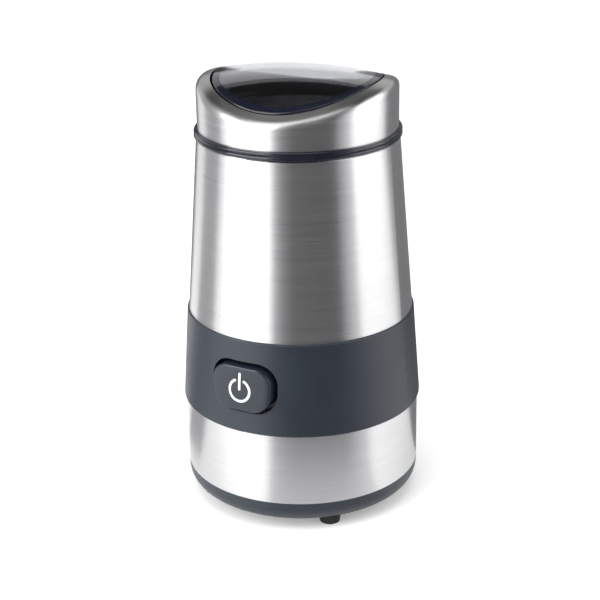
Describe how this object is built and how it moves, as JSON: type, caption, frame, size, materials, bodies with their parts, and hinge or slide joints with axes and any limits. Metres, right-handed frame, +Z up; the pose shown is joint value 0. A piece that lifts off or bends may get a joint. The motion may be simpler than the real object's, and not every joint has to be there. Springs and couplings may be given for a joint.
{
  "type": "electric spice grinder",
  "caption": "Upright electric spice and coffee grinder: tapered steel housing with a slate grip band and push button, rotor blade in a steel bowl, and a steel lid with a smoked crowned window.",
  "frame": {"origin": "on the grinder's axis at the level of the feet's undersides", "axes": "+Z up along the motor shaft, -Y towards the front with the button, +X to the right seen from the front"},
  "size_m": [0.104, 0.1054, 0.1897],
  "materials": {
    "brushed_shell": "fine brushing round the axis",
    "slate_plastic": "satin slate blue-grey",
    "housing_plastic": "moulded, dark grey",
    "smoked_plastic": "smoked, see-through, polished",
    "bowl_steel": "polished stainless steel",
    "foot_rubber": "matt black",
    "gland_rubber": "matt black",
    "screw_steel": "zinc plated",
    "spring_steel": "bright spring wire",
    "core_steel": "lacquered laminations",
    "winding_copper": "enamelled copper",
    "bearing_bronze": "sintered bronze",
    "bracket_aluminium": "plain sheet and casting",
    "switch_plastic": "black moulding",
    "plunger_plastic": "white moulding",
    "carbon": "pressed carbon"
  },
  "bodies": {
    "housing": {"base_cover": "slate_plastic", "rubber_feet": "foot_rubber", "base_screws": "screw_steel", "cord_gland": "gland_rubber", "terminal_block": "switch_plastic", "lower_steel_band": "brushed_shell", "grip_band": "slate_plastic", "upper_steel_shell": "brushed_shell", "main_housing": "housing_plastic", "upper_housing": "housing_plastic", "bowl_collar": "housing_plastic", "grinding_bowl": "bowl_steel", "bowl_gasket": "gland_rubber", "shaft_seal": "switch_plastic", "motor_plate": "bracket_aluminium", "rubber_mounts": "gland_rubber", "motor_screws": "screw_steel", "upper_bearing": "bearing_bronze", "stator_core": "core_steel", "field_coils": "winding_copper", "stator_bolts": "screw_steel", "lower_motor_bracket": "bracket_aluminium", "lower_bearing": "bearing_bronze", "brush_holders": "bearing_bronze", "carbon_brushes": "carbon", "brush_springs": "spring_steel", "button_spring": "spring_steel", "switch_bracket": "bracket_aluminium", "power_switch": "switch_plastic", "interlock_switch": "switch_plastic", "interlock_spring": "spring_steel"},
    "rotor": {"motor_shaft": "screw_steel", "armature_core": "core_steel", "armature_windings": "winding_copper", "commutator": "winding_copper", "cooling_fan": "switch_plastic", "blade_collar": "bowl_steel", "blade": "bowl_steel", "blade_nut": "bowl_steel"},
    "lid": {"lid_window": "smoked_plastic", "lid_steel_shell": "brushed_shell"},
    "button": {"power_button": "slate_plastic"},
    "plunger": {"switch_plunger": "plunger_plastic"},
    "interlock": {"interlock_rod": "plunger_plastic"}
  },
  "joints": [
    {"name": "rotor_spin", "type": "hinge", "parent": "housing", "child": "rotor", "pos_m": [0, 0, 0.08], "axis": [0, 0, 1], "continuous": true},
    {"name": "lid_lift", "type": "slide", "parent": "housing", "child": "lid", "axis": [0, 0, 1], "range_m": [0, 0.06]},
    {"name": "button_press", "type": "slide", "parent": "housing", "child": "button", "axis": [0, 1, 0], "range_m": [0, 0.0022], "stiffness_N_per_m": 400, "springref_m": -0.001, "deforming": ["button_spring"]},
    {"name": "plunger_slide", "type": "slide", "parent": "housing", "child": "plunger", "axis": [0, 1, 0], "range_m": [0, 0.0022]},
    {"name": "rod_slide", "type": "slide", "parent": "housing", "child": "interlock", "axis": [0, 0, 1], "range_m": [0, 0.003], "deforming": ["interlock_spring"]}
  ],
  "couplings": [
    {"joint": "plunger_slide", "follows": "button_press", "ratio": 1},
    {"joint": "rod_slide", "follows": "lid_lift", "ratio": 0.05}
  ]
}
